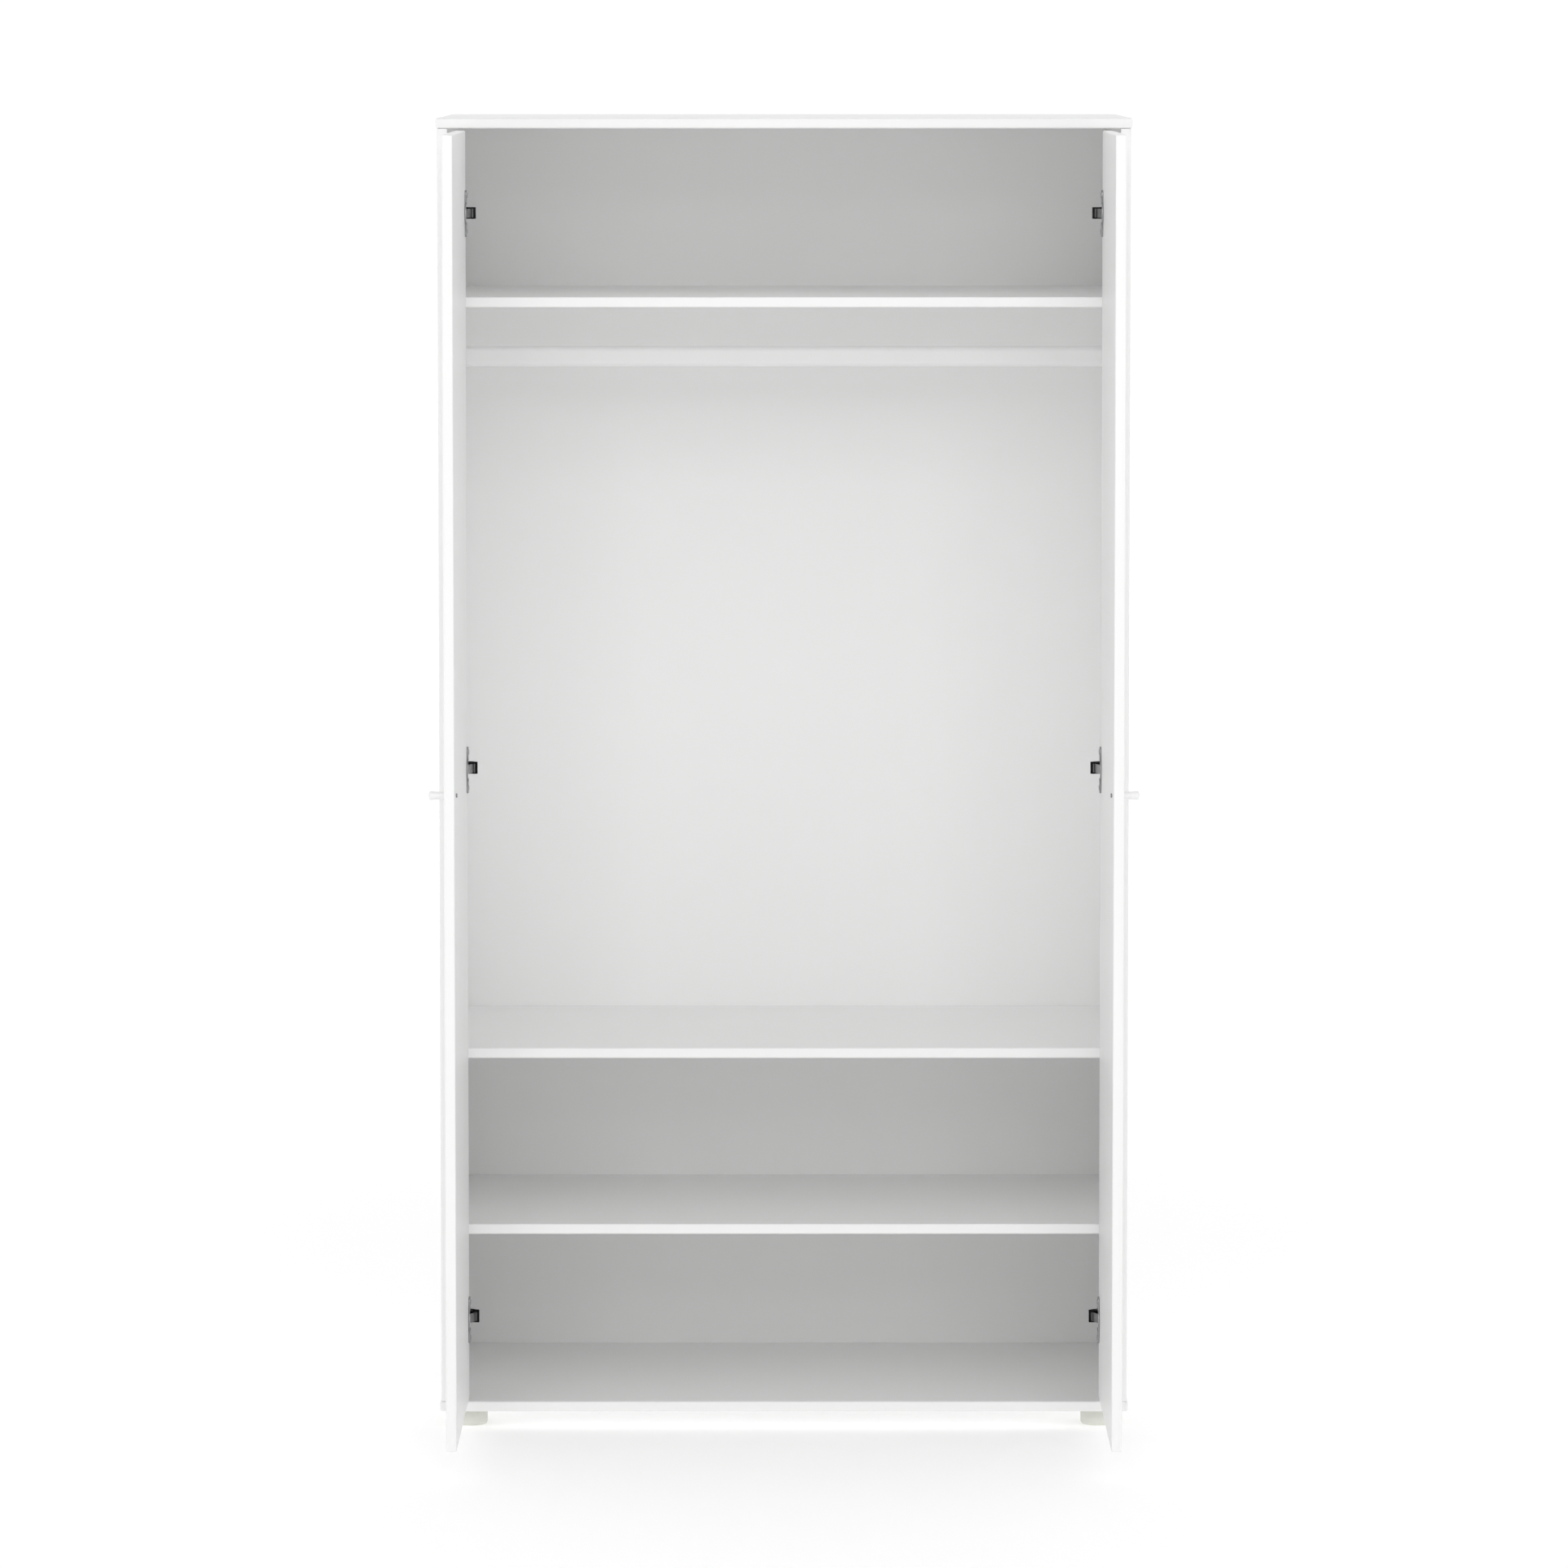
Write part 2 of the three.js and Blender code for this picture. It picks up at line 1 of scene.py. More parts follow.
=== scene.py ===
"""A white two-door wardrobe on round feet, its doors open at a right angle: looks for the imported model."""

import json
import math

import bmesh
import bpy
from mathutils import Matrix, Vector

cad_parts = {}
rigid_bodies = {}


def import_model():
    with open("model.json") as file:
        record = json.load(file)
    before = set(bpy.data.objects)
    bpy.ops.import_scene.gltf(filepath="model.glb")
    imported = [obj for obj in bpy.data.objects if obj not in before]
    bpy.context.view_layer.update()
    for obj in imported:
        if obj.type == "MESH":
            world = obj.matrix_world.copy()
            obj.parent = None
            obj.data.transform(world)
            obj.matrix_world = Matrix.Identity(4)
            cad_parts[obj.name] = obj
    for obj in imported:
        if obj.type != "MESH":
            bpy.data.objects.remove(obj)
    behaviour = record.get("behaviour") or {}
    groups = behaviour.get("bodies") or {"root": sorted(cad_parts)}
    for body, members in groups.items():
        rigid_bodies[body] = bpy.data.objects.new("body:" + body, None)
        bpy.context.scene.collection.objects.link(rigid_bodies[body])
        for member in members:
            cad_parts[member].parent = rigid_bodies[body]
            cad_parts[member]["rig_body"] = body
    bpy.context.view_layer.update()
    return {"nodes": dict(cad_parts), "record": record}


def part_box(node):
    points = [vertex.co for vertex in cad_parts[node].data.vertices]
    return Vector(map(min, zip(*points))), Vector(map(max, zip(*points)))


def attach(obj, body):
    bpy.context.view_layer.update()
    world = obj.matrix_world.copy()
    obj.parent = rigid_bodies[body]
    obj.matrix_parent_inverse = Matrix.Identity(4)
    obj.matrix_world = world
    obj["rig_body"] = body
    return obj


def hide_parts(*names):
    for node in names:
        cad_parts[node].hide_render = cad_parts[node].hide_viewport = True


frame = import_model()
NODES = frame["nodes"]
MM = 0.001

# Where the camera stands: square to the front, a little above the top, looking slightly down.
CAMERA_DISTANCE = 12.105  # in front of the middle of the whole, on the floor
CAMERA_HEIGHT = 2.0223
CAMERA_PITCH = math.radians(5.123)
CAMERA_LENS = 192.49  # millimetres, on the sensor below
CAMERA_SENSOR = 36


# ---------------------------------------------------------------- node materials
class Shader:
    """A material's node tree, with a Principled shader and short ways to feed it."""

    def __init__(self, name, colour, roughness, metallic=0.0):
        self.material = bpy.data.materials.new(name)
        self.material.use_nodes = True
        self.tree = self.material.node_tree
        self.shader = self.tree.nodes["Principled BSDF"]
        self.shader.inputs["Base Color"].default_value = (*colour, 1)
        self.shader.inputs["Roughness"].default_value = roughness
        self.shader.inputs["Metallic"].default_value = metallic
        self.place = self.tree.nodes.new("ShaderNodeTexCoord").outputs["Object"]

    def node(self, kind, inputs, **settings):
        made = self.tree.nodes.new(kind)
        for key, value in settings.items():
            setattr(made, key, value)
        for key, value in inputs.items():
            if isinstance(value, bpy.types.NodeSocket):
                self.tree.links.new(value, made.inputs[key])
            else:
                made.inputs[key].default_value = value
        return made

    def stretched(self, scale):
        return self.node("ShaderNodeMapping", {"Vector": self.place, "Scale": scale}).outputs["Vector"]

    def noise(self, scale, detail=2.0, roughness=0.5, place=None):
        inputs = {"Vector": place or self.place, "Scale": scale, "Detail": detail, "Roughness": roughness}
        return self.node("ShaderNodeTexNoise", inputs).outputs["Fac"]

    def spread(self, value, low, high, start=0.3, end=0.7):
        """A noise value between start and end, spread over low to high."""
        inputs = {"Value": value, "From Min": start, "From Max": end, "To Min": low, "To Max": high}
        return self.node("ShaderNodeMapRange", inputs).outputs["Result"]

    def colour_between(self, value, first, second):
        ramp = self.tree.nodes.new("ShaderNodeValToRGB")
        ramp.color_ramp.elements[0].color = (*first, 1)
        ramp.color_ramp.elements[1].color = (*second, 1)
        self.tree.links.new(value, ramp.inputs["Fac"])
        self.feed("Base Color", ramp.outputs["Color"])

    def feed(self, socket, value):
        self.tree.links.new(value, self.shader.inputs[socket])

    def bump(self, height, distance, strength=1.0, under=None):
        """A normal raised by a height in metres, on top of the one under it."""
        inputs = {"Height": height, "Distance": distance, "Strength": strength}
        if under:
            inputs["Normal"] = under
        return self.node("ShaderNodeBump", inputs).outputs["Normal"]


def tinted(colour, share):
    return tuple(channel * share for channel in colour)


def lacquer(name, colour, roughness, peel=1.0):
    """Sprayed lacquer: faint mottling, a soft gloss that varies a little, and a fine orange peel."""
    made = Shader(name, colour, roughness)
    mottle = made.spread(made.noise(2.2, 3), 0, 1)
    made.colour_between(mottle, tinted(colour, 0.988), colour)
    made.feed("Roughness", made.spread(made.noise(9, 4), roughness - 0.04, roughness + 0.05))
    sag = made.bump(made.noise(28, 2), 0.00012 * peel, 0.35)
    made.feed("Normal", made.bump(made.noise(620, 2), 0.00003 * peel, 0.5, sag))
    made.shader.inputs["Coat Weight"].default_value = 0.12
    made.shader.inputs["Coat Roughness"].default_value = 0.22
    return made.material


def moulded(name, colour, roughness):
    """Moulded plastic with a fine spark-eroded grain."""
    made = Shader(name, colour, roughness)
    made.colour_between(made.spread(made.noise(35, 3), 0, 1), tinted(colour, 0.96), colour)
    made.feed("Roughness", made.spread(made.noise(120, 3), roughness - 0.06, roughness + 0.06))
    made.feed("Normal", made.bump(made.noise(1800, 3), 0.00004, 0.6))
    return made.material


def plated(name, colour, roughness, edge=1.0):
    """Plated steel with fine marks from the press or the thread roller, its sheen dimmed by the edge."""
    made = Shader(name, colour, roughness, metallic=1.0)
    made.shader.inputs["Specular Tint"].default_value = (edge, edge, edge, 1)
    made.colour_between(made.spread(made.noise(90, 4), 0, 1), tinted(colour, 0.82), colour)
    grain = made.noise(900, 3, place=made.stretched((0.15, 1, 1)))
    made.feed("Roughness", made.spread(grain, roughness - 0.08, roughness + 0.12))
    made.feed("Normal", made.bump(grain, 0.00002, 0.5))
    return made.material


WHITE = (0.9, 0.9, 0.898)
MATERIALS = {
    "white_board": lacquer("white_lacquer", WHITE, 0.42),
    "back_board": lacquer("back_lacquer", (0.89, 0.89, 0.888), 0.5, peel=1.8),
    "rail_enamel": lacquer("rail_powder_coat", (0.88, 0.88, 0.88), 0.36, peel=0.8),
    "knob_enamel": lacquer("knob_enamel", (0.86, 0.86, 0.86), 0.28, peel=0.5),
    "white_plastic": moulded("socket_plastic", (0.8, 0.8, 0.79), 0.45),
    "foot_plastic": moulded("foot_plastic", (0.75, 0.76, 0.7), 0.5),
    "hinge_steel": plated("hinge_nickel", (0.38, 0.38, 0.39), 0.36),
    # The hinge arm is near black, with its grazing sheen dimmed: painted shade and painted dark reflection
    # for the shadowed gap and nose of the arm, not a blackened finish.
    "arm_steel": plated("arm_painted_shade_black", (0.02, 0.02, 0.02), 0.36, edge=0.3),
    "zinc_steel": plated("screw_zinc", (0.3, 0.3, 0.3), 0.34),
    "zinc_casting": plated("cam_zinc", (0.45, 0.44, 0.42), 0.5),
}


WELD_DISTANCE = 1e-5


def smoothing_group(angle):
    """Geometry nodes that weld a mesh and shade it smooth, but for edges sharper than the angle."""
    group = bpy.data.node_groups.new("weld_and_smooth", "GeometryNodeTree")
    group.interface.new_socket("Geometry", in_out="INPUT", socket_type="NodeSocketGeometry")
    group.interface.new_socket("Geometry", in_out="OUTPUT", socket_type="NodeSocketGeometry")
    start = group.nodes.new("NodeGroupInput")
    end = group.nodes.new("NodeGroupOutput")
    weld = group.nodes.new("GeometryNodeMergeByDistance")
    weld.inputs["Distance"].default_value = WELD_DISTANCE
    faces = group.nodes.new("GeometryNodeSetShadeSmooth")
    edges = group.nodes.new("GeometryNodeSetShadeSmooth")
    edges.domain = "EDGE"
    bend = group.nodes.new("GeometryNodeInputMeshEdgeAngle")
    sharp = group.nodes.new("FunctionNodeCompare")
    sharp.operation = "LESS_THAN"
    sharp.inputs["B"].default_value = angle
    link = group.links.new
    link(start.outputs[0], weld.inputs["Geometry"])
    link(weld.outputs["Geometry"], faces.inputs["Geometry"])
    link(faces.outputs["Geometry"], edges.inputs["Geometry"])
    link(bend.outputs["Unsigned Angle"], sharp.inputs["A"])
    link(sharp.outputs["Result"], edges.inputs["Shade Smooth"])
    link(edges.outputs["Geometry"], end.inputs[0])
    return group


SMOOTHING = smoothing_group(math.radians(50))
SLOTS = {part["node"]: part["material_slot"] for part in frame["record"]["subparts"]}


def dress_cad_nodes():
    """Gives every CAD node its slot's material and smooth shading."""
    for name, node in NODES.items():
        node.data.materials.clear()
        node.data.materials.append(MATERIALS[SLOTS[name]])
        custom = node.data.attributes.get("custom_normal")
        if custom:
            node.data.attributes.remove(custom)
        node.modifiers.new("smooth", "NODES").node_group = SMOOTHING
        weighted = node.modifiers.new("flat_faces", "WEIGHTED_NORMAL")
        weighted.keep_sharp = True


# ---------------------------------------------------------------- shapes
# Shapes are made in millimetres for the right-hand half, and become metres, or a mirror image, at the end.

def place_of(node):
    """The two corners of a CAD node's box in millimetres, with X counted outwards on either side."""
    low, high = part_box(node)
    if high.x < 0:
        low.x, high.x = -high.x, -low.x
    return low / MM, high / MM


def softened(points, radius, steps=5):
    """A polyline with its inner corners rounded off, each over less than half of the shorter side."""
    most = 0.45
    rounded = [Vector(points[0])]
    for before, here, after in zip(points, points[1:], points[2:]):
        here = Vector(here)
        back = Vector(before) - here
        ahead = Vector(after) - here
        reach = min(radius, back.length * most, ahead.length * most)
        start = here + back.normalized() * reach
        end = here + ahead.normalized() * reach
        for step in range(steps + 1):
            share = step / steps
            rounded.append(start * (1 - share) ** 2 + here * 2 * share * (1 - share) + end * share**2)
    return rounded + [Vector(points[-1])]


def softened_ring(points, radius, steps=4):
    """A closed outline with every corner rounded off."""
    return softened([points[-1], *points, points[0]], radius, steps)[1:-1]


def join_rings(mesh, rings):
    """Faces between rings of vertices, where a ring of one vertex closes the shape."""
    sides = max(len(ring) for ring in rings)
    for first, second in zip(rings, rings[1:]):
        for step in range(sides):
            after = (step + 1) % sides
            corners = [first[step % len(first)], first[after % len(first)]]
            corners += [second[after % len(second)], second[step % len(second)]]
            corners = list(dict.fromkeys(corners))
            if len(corners) > 2:
                mesh.faces.new(corners)


def lathe(mesh, profile, origin, axis, sides=96):
    """A profile of (radius, distance) points turned about an axis."""
    turn = Vector((0, 0, 1)).rotation_difference(Vector(axis)).to_matrix()
    rings = []
    for radius, distance in profile:
        ring = []
        for step in range(sides if radius > 1e-6 else 1):
            angle = 2 * math.pi * step / sides
            spot = Vector((radius * math.cos(angle), radius * math.sin(angle), distance))
            ring.append(mesh.verts.new(Vector(origin) + turn @ spot))
        rings.append(ring)
    join_rings(mesh, rings)


def oval_sweep(mesh, profile, origin, outwards, sides=96):
    """A closed profile of (radius, rise, distance) points swept round an upright oval, whose two
    half circles have the radius and stand apart by twice the rise; distances run along X."""
    rings = []
    for radius, rise, distance in profile:
        ring = []
        for end in (1, -1):
            for step in range(sides // 2 + 1):
                angle = math.pi * step / (sides // 2)
                y = end * radius * math.cos(angle)
                z = end * (radius * math.sin(angle) + rise)
                ring.append(mesh.verts.new(Vector(origin) + Vector((outwards * distance, y, z))))
        rings.append(ring)
    join_rings(mesh, rings)


def closed_profile(points, radius, steps=4):
    """A ring-shaped profile, softened, that ends where it begins."""
    ring = softened_ring(points, radius, steps)
    return ring + ring[:1]


UPRIGHT = Matrix.Identity(3)
FACING_IN = Matrix(((0, 0, 1), (1, 0, 0), (0, 1, 0)))  # an outline in Y and Z, thick along X


def prism(mesh, outline, low, high, edge=0.3, turn=UPRIGHT):
    """A closed outline, thick from low to high, with the edges of its two faces softened."""
    lower = [mesh.verts.new(turn @ Vector((*spot, low))) for spot in outline]
    upper = [mesh.verts.new(turn @ Vector((*spot, high))) for spot in outline]
    join_rings(mesh, [lower, upper])
    caps = [mesh.faces.new(lower), mesh.faces.new(upper)]
    edges = [line for cap in caps for line in cap.edges]
    bmesh.ops.bevel(mesh, geom=edges, offset=edge, segments=3, profile=0.5, affect="EDGES")


def ribbon(mesh, path, thickness, low, high, edge=0.3):
    """A strip of sheet that stands on edge and follows a path in X and Y."""
    first, second = [], []
    for index, spot in enumerate(path):
        along = path[min(index + 1, len(path) - 1)] - path[max(index - 1, 0)]
        across = Vector((-along.y, along.x)).normalized() * thickness / 2
        first.append(spot + across)
        second.append(spot - across)
    prism(mesh, first + second[::-1], low, high, edge)


def cross_head(mesh, origin, axis, radius, height, dome, recess, rings=22, sides=64):
    """A screw head with a domed top and a cross recess; axis points out of it, origin is under it.
    The recess is given as half its length, half the width of its slots, and its depth."""
    turn = Vector((0, 0, 1)).rotation_difference(Vector(axis)).to_matrix()
    arm, slot, depth = recess
    blur = 0.12

    def inside(distance, half):
        share = min(max((half + blur - abs(distance)) / (2 * blur), 0), 1)
        return share * share * (3 - 2 * share)

    made = [[mesh.verts.new(Vector(origin))]]
    made.append([])
    for step in range(sides):
        angle = 2 * math.pi * step / sides
        spot = Vector((radius * math.cos(angle), radius * math.sin(angle), 0))
        made[-1].append(mesh.verts.new(Vector(origin) + turn @ spot))
    for ring in range(rings + 1):
        share = 1 - ring / rings
        reach = radius * share
        made.append([])
        for step in range(sides if ring < rings else 1):
            angle = 2 * math.pi * step / sides
            x, y = reach * math.cos(angle), reach * math.sin(angle)
            cross = max(inside(x, slot) * inside(y, arm), inside(y, slot) * inside(x, arm))
            top = height + dome * (1 - share**4) - depth * cross
            made[-1].append(mesh.verts.new(Vector(origin) + turn @ Vector((x, y, top))))
    join_rings(mesh, made)


def finish_piece(node, mesh):
    """The object that stands for a CAD node: it moves with the node's body and has its slot's material."""
    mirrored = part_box(node)[1].x < 0
    mesh.transform(Matrix.Diagonal((-MM if mirrored else MM, MM, MM, 1)))
    bmesh.ops.remove_doubles(mesh, verts=mesh.verts, dist=1e-7)
    bmesh.ops.recalc_face_normals(mesh, faces=mesh.faces)
    data = bpy.data.meshes.new(node + "_mesh")
    mesh.to_mesh(data)
    mesh.free()
    data.materials.append(MATERIALS[SLOTS[node]])
    piece = bpy.data.objects.new(node + "_piece", data)
    bpy.context.scene.collection.objects.link(piece)
    piece.modifiers.new("smooth", "NODES").node_group = SMOOTHING
    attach(piece, NODES[node]["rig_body"])
    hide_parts(node)
    return piece


# ---------------------------------------------------------------- pieces
TOUCH = 0.3  # the gap between two pieces that touch
KNOB_SCREW = {"head": (3, 1.6), "shank": 2, "recess": (1.8, 0.36, 0.7), "dome": 0.4}
SOCKET_SCREW = {"head": (5, 1.4), "shank": 2, "recess": (2.8, 0.5, 1), "dome": 0.1}
FOOT_SCREW = {"head": (5, 2.4), "shank": 2, "recess": (3, 0.5, 1.2), "dome": 0.5}
CAM_BOLT = {"radius": 3.2, "tip_radius": 2.6, "tip": 0.6, "inset": 7.5}
RAIL_WALL = 1.2


def make_knob(node):
    """A slightly waisted round knob with a shallow cone for its end."""
    low, high = place_of(node)
    middle = (low + high) / 2
    length = high.x - low.x
    profile = [(0, 0), (5.6, 0), (5.9, 0.3), (5.72, 1.6), (5.5, 5.5), (5.48, 8.5), (5.6, 12), (5.82, 15.4)]
    profile += [(6.12, 18.6), (6.2, length - 2.9), (5.95, length - 1.8), (5.1, length - 1.2)]
    profile += [(3, length - 0.5), (1, length - 0.06), (0, length)]
    mesh = bmesh.new()
    lathe(mesh, softened(profile, 1.6), (low.x, middle.y, middle.z), (1, 0, 0))
    finish_piece(node, mesh)


def make_screw(node, axis, head, shank, recess, dome):
    """A screw whose head, a radius and a height, is at the box's end that the axis points to."""
    low, high = place_of(node)
    middle = (low + high) / 2
    direction = Vector(axis)
    reach = abs((high - low).dot(direction))
    radius, height = head
    top = middle + direction * (reach / 2)
    seat = top - direction * (height + dome)
    mesh = bmesh.new()
    cross_head(mesh, seat, axis, radius, height, dome, recess)
    length = reach - height - dome
    point = shank * 0.3
    profile = [(0, 0), (shank, 0), (shank, length - 2), (point, length), (0, length)]
    lathe(mesh, profile, seat, -direction, sides=24)
    finish_piece(node, mesh)


def make_foot(node):
    """A round foot with a softened lower edge and a recess for its screw."""
    low, high = place_of(node)
    middle = (low + high) / 2
    radius = (high.x - low.x) / 2
    height = high.z - low.z
    recess, bore, seat = 6, 2.3, 17
    lead, chamfer = 0.8, 0.5
    edge = 4.5
    steps = 8
    arc = []
    for step in range(steps + 1):
        angle = step / steps * math.pi / 2
        arc.append((radius - edge + edge * math.sin(angle), edge * (1 - math.cos(angle))))
    profile = [(recess, seat), (recess, lead), (recess + lead, 0), *arc, (radius, height - chamfer)]
    profile += [(radius - chamfer, height), (bore, height), (bore, seat), (recess, seat)]
    mesh = bmesh.new()
    lathe(mesh, profile, (middle.x, middle.y, low.z), (0, 0, 1))
    finish_piece(node, mesh)


def make_rail(node):
    """An oval tube with softened ends."""
    low, high = place_of(node)
    middle = (low + high) / 2
    radius = (high.y - low.y) / 2
    rise = (high.z - low.z) / 2 - radius
    length = high.x - low.x
    bore = radius - RAIL_WALL
    outline = [(bore, rise, 0), (radius, rise, 0), (radius, rise, length), (bore, rise, length)]
    mesh = bmesh.new()
    oval_sweep(mesh, closed_profile(outline, 0.5), (low.x, middle.y, middle.z), 1)
    finish_piece(node, mesh)


def make_rail_socket(node):
    """An oval collar on an oval base, with a countersunk hole for its screw."""
    low, high = place_of(node)
    middle = (low + high) / 2
    reach = high.x - low.x
    base = (high.y - low.y) / 2
    rail_low, rail_high = place_of("clothes_rail")
    bore = (rail_high.y - rail_low.y) / 2 + TOUCH
    rise = (high.z - low.z) / 2 - base
    hole, sink, plate = 2.3, 5.5, 3
    root, mouth = bore + 3.2, bore + 2.2
    outline = [(hole, 0, 0), (base, rise, 0), (base, rise, 1.6), (base - 1.5, rise, plate)]
    outline += [(root, rise, plate), (mouth, rise, reach), (bore, rise, reach), (bore, rise, plate)]
    outline += [(sink, 0, plate), (hole, 0, 0.4)]
    mesh = bmesh.new()
    oval_sweep(mesh, closed_profile(outline, 0.9), (high.x, middle.y, middle.z), -1)
    finish_piece(node, mesh)


def make_cam_fitting(node, end):
    """A cam let into the side, and its bolt into the panel above or below."""
    low, high = place_of(node)
    radius = (high.y - low.y) / 2
    cam_z = low.z + radius if end > 0 else high.z - radius
    y = (low.y + high.y) / 2
    depth = high.x - low.x
    dome = 0.05
    mesh = bmesh.new()
    cross_head(mesh, (high.x, y, cam_z), (-1, 0, 0), radius, depth - dome, dome, (4.6, 0.75, 2))
    length = high.z - low.z - radius
    bolt = [(0, 0), (CAM_BOLT["radius"], 0), (CAM_BOLT["radius"], length - CAM_BOLT["tip"])]
    bolt += [(CAM_BOLT["tip_radius"], length), (0, length)]
    lathe(mesh, bolt, (low.x + CAM_BOLT["inset"], y, cam_z), (0, 0, end), sides=32)
    finish_piece(node, mesh)


def add_screw(mesh, seat, length):
    """A pan-head screw with a cross recess, driven outwards into a board from a seat."""
    radius, shank = 4, 1.7
    height, dome = 0.5, 0.5
    cross_head(mesh, seat, (-1, 0, 0), radius, height, dome, (2.3, 0.42, 0.75))
    profile = [(0, 0), (shank, 0), (shank, length - 2), (0, length)]
    lathe(mesh, profile, seat, (1, 0, 0), sides=24)


CUP_RADIUS = 17.2
CUP_WALL = 0.8
CUP_DEPTH = 11.8
CUP_RIM = {"width": 1.3, "thickness": 0.6, "raised": 2.02, "slope": 3}
EAR = {"half_width": 11, "end": 33.3, "corner": 8, "thickness": 2.1, "screw": 26}


def make_hinge_cup(node, door):
    """A round cup in the door, and an ear above and below it with a screw in each. The cup's rim is
    thin on the side where the link passes, and nearly as thick as the ears on the other."""
    low, high = place_of(node)
    middle = (low + high) / 2
    face = place_of(door)[0].x - TOUCH
    hollow = CUP_RADIUS - CUP_WALL
    rim = CUP_RADIUS + CUP_RIM["width"]
    thin = -CUP_RIM["thickness"]
    mesh = bmesh.new()
    bowl = [(0, CUP_DEPTH - CUP_WALL), (hollow, CUP_DEPTH - CUP_WALL), (hollow, thin), (rim, thin)]
    bowl += [(rim, 0), (CUP_RADIUS, 0), (CUP_RADIUS, CUP_DEPTH), (0, CUP_DEPTH)]
    lathe(mesh, softened(bowl, 0.5), (face, middle.y, middle.z), (1, 0, 0))
    growth = CUP_RIM["raised"] / CUP_RIM["thickness"] - 1
    for corner in mesh.verts:
        if corner.co.x < face:
            share = min(max((middle.y - corner.co.y) / CUP_RIM["slope"] + 0.5, 0), 1)
            corner.co.x = face - (face - corner.co.x) * (1 + growth * share)
    half, end = EAR["half_width"], EAR["end"]
    inner = hollow + 0.5
    start = math.asin(half / inner)
    steps = 16
    arc = [math.sin(start - 2 * start * step / steps) for step in range(steps + 1)]
    foot = 20  # where the ear's straight sides begin, past the arc
    for sign in (-1, 1):
        corners = softened([(-half, foot), (-half, end), (half, end), (half, foot)], EAR["corner"], 10)
        ear = [*corners, *((inner * share, inner * math.sqrt(1 - share**2)) for share in arc)]
        outline = [(middle.y + y, middle.z + sign * z) for y, z in ear]
        prism(mesh, outline, face - EAR["thickness"], face, 0.6, FACING_IN)
        seat = (face - EAR["thickness"], middle.y, middle.z + sign * EAR["screw"])
        add_screw(mesh, seat, length=12)
    finish_piece(node, mesh)


WING = {"half_width": 8, "half_height": 25, "corner": 6, "thickness": 2.5, "screw": 16}
BRIDGE = {"half_height": 6.6, "start": 10, "corner": 2}


def rectangle(start, end, half_height):
    """The four corners of a rectangle in Y and Z, about a height of nought."""
    return [(start, -half_height), (end, -half_height), (end, half_height), (start, half_height)]


def make_hinge_plate(node):
    """A mounting plate: a flat wing with two screws, and a bridge for the arm to sit on."""
    low, high = place_of(node)
    middle = (low + high) / 2
    face = place_of(node.split("_")[0] + "_side_panel")[0].x - TOUCH
    wing_y = low.y + WING["half_width"]
    mesh = bmesh.new()
    flat = rectangle(-WING["half_width"], WING["half_width"], WING["half_height"])
    outline = [(wing_y + y, middle.z + z) for y, z in softened_ring(flat, WING["corner"], 8)]
    prism(mesh, outline, face - WING["thickness"], face, 0.5, FACING_IN)
    raised = rectangle(low.y + BRIDGE["start"], high.y, BRIDGE["half_height"])
    outline = [(y, middle.z + z) for y, z in softened_ring(raised, BRIDGE["corner"], 6)]
    prism(mesh, outline, low.x, face, 0.8, FACING_IN)
    for sign in (-1, 1):
        seat = (face - WING["thickness"], wing_y - 1, middle.z + sign * WING["screw"])
        add_screw(mesh, seat, length=14)
    finish_piece(node, mesh)


SHEET = 1.2
PIN = (4.5, 3.3)  # this and the arm's other places are counted from its inner front corner
LIP = (3.3, 0.7)
NOSE = {"outer": 13.5, "front": 8.3, "back": 14.3}
SEAT = {"inner": 18.5, "outer": 32.5, "front": 28.3, "crank": 19.3, "corner_cut": 3}
ARM_SCREWS = (
    {"y": 47.3, "radius": 3.6, "height": 1, "dome": 0.4, "recess": (2.2, 0.42, 0.8)},
    {"y": 33.3, "radius": 2.6, "height": 0.5, "dome": 0.2, "recess": (1.7, 0.36, 0.6)},
)


